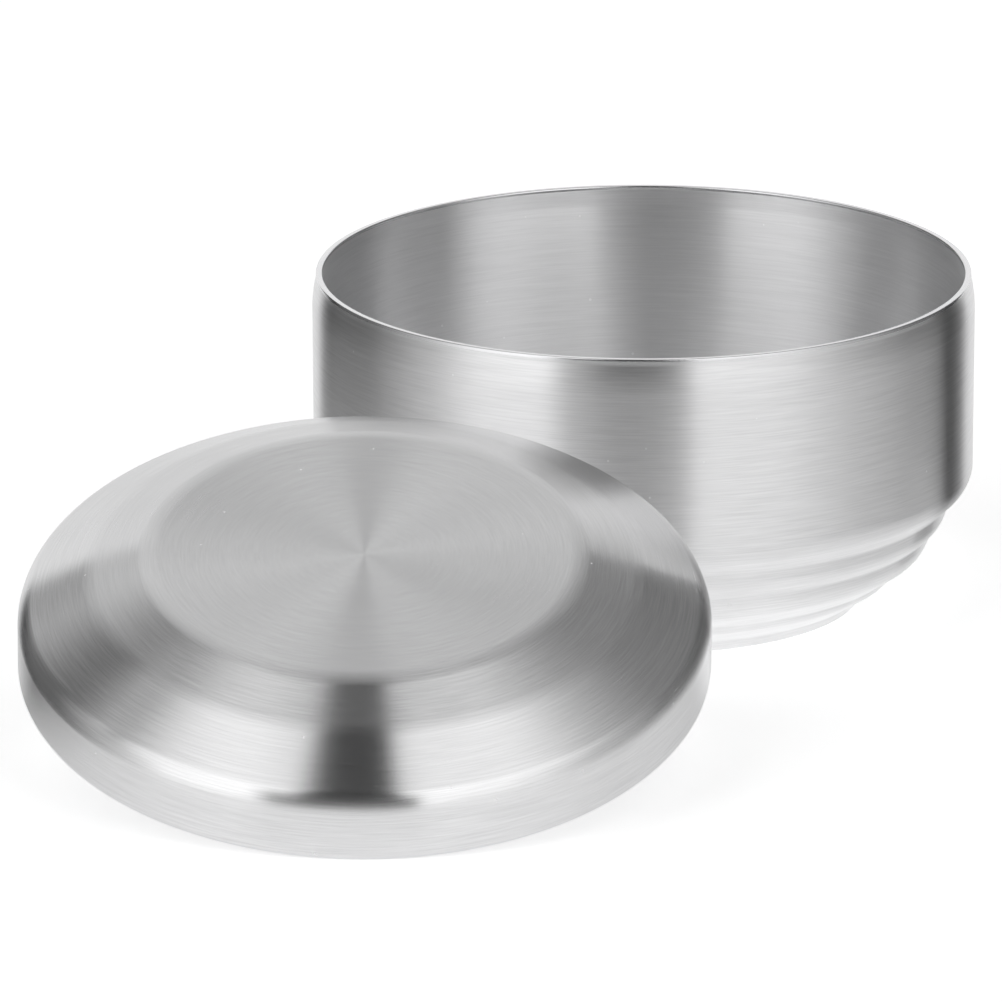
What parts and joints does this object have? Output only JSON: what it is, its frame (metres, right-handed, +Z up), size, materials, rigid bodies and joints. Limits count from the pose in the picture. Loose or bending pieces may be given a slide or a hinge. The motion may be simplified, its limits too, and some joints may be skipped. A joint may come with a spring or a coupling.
{
  "type": "insulated bowl with lid",
  "caption": "Double-wall stainless bowl with a stepped foot, shown with its stepped flat-topped lid taken off and leaning against the wall.",
  "frame": {"origin": "centre of the foot ring's underside, on the bowl's axis, at table level", "axes": "+Z up along the bowl's axis, -Y towards the viewer of the picture, +X to the viewer's right"},
  "size_m": [0.1716, 0.23, 0.061],
  "materials": {
    "brushed_outside": "brushed round the axis",
    "brushed_lid": "brushed round the lid's axis",
    "satin_inside": "satin",
    "polished_edge": "polished",
    "plug_steel": "satin"
  },
  "bodies": {
    "bowl": {"outer_shell": "brushed_outside", "inner_shell": "satin_inside", "rim_bead": "polished_edge", "base_plug": "plug_steel"},
    "lid": {"lid_cover": "brushed_lid", "lid_liner": "satin_inside", "lid_edge_bead": "polished_edge", "lid_plug": "plug_steel"}
  },
  "joints": [
    {"name": "lid_lift", "type": "slide", "parent": "bowl", "child": "lid", "axis": [0, 0, 1], "range_m": [0, 0.1]}
  ]
}
